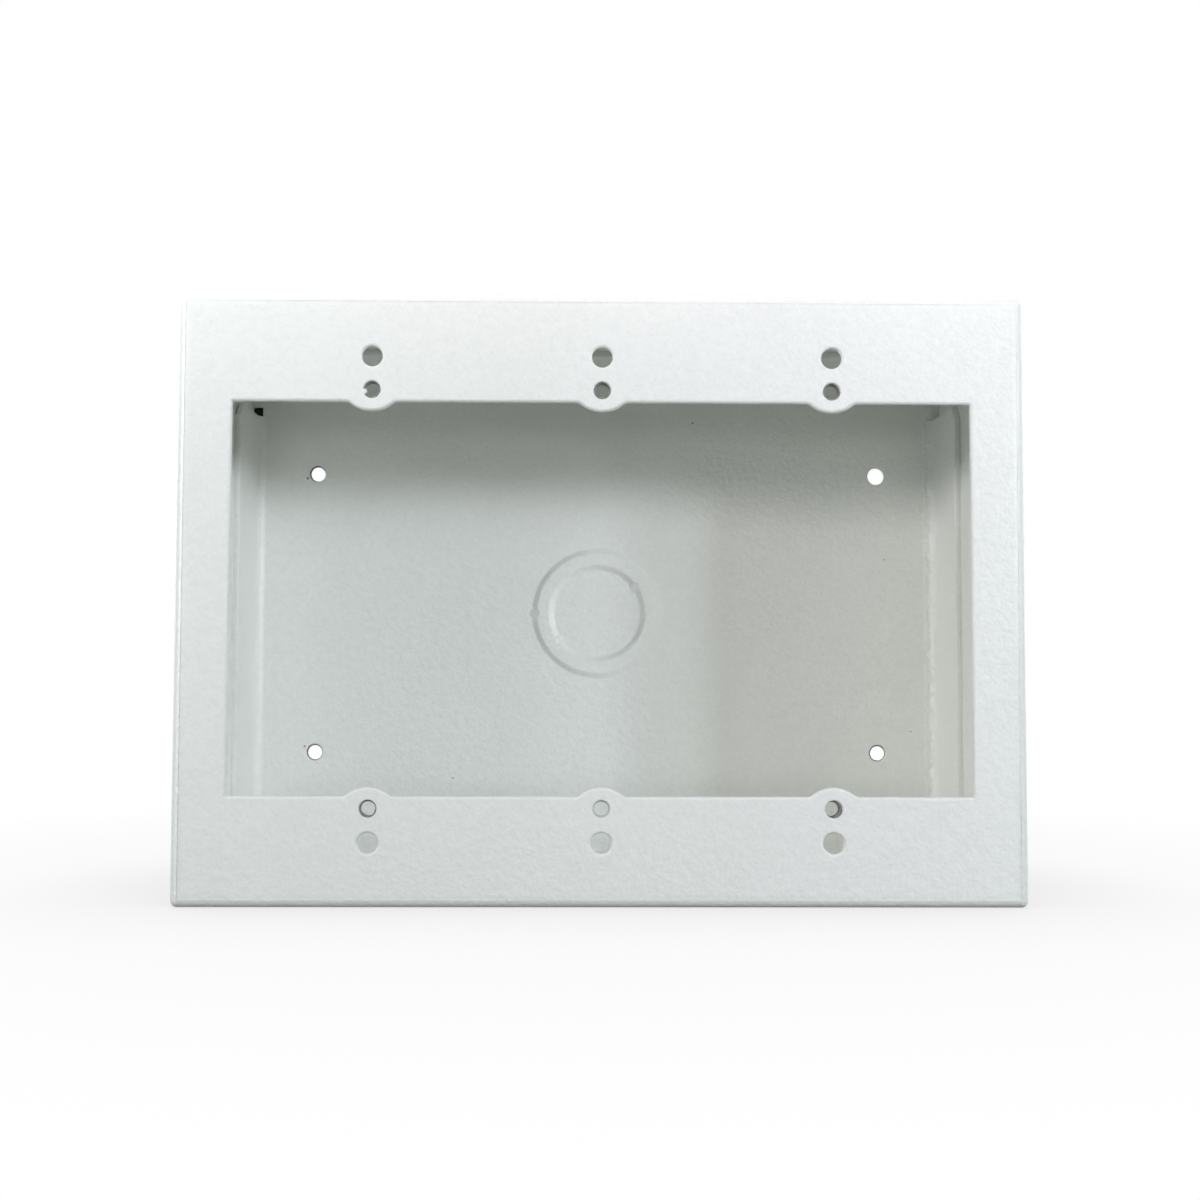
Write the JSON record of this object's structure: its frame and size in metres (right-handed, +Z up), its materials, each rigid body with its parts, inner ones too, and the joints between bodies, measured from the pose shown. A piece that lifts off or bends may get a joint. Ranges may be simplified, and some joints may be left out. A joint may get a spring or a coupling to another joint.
{
  "type": "surface mount back box",
  "caption": "White steel surface mount back box for a row of wiring devices: open window with screw lobes in front, wall fixing holes and a concentric knockout behind.",
  "frame": {"origin": "centre of the back, in the plane that lies against the wall", "axes": "+X right and +Z up as seen from the front, +Y into the wall, so the front faces -Y"},
  "size_m": [0.1698, 0.0698, 0.1222],
  "materials": {
    "white_powder_coat": "satin"
  },
  "bodies": {
    "root": {"front_shell": "white_powder_coat", "back_pan": "white_powder_coat"}
  },
  "joints": []
}
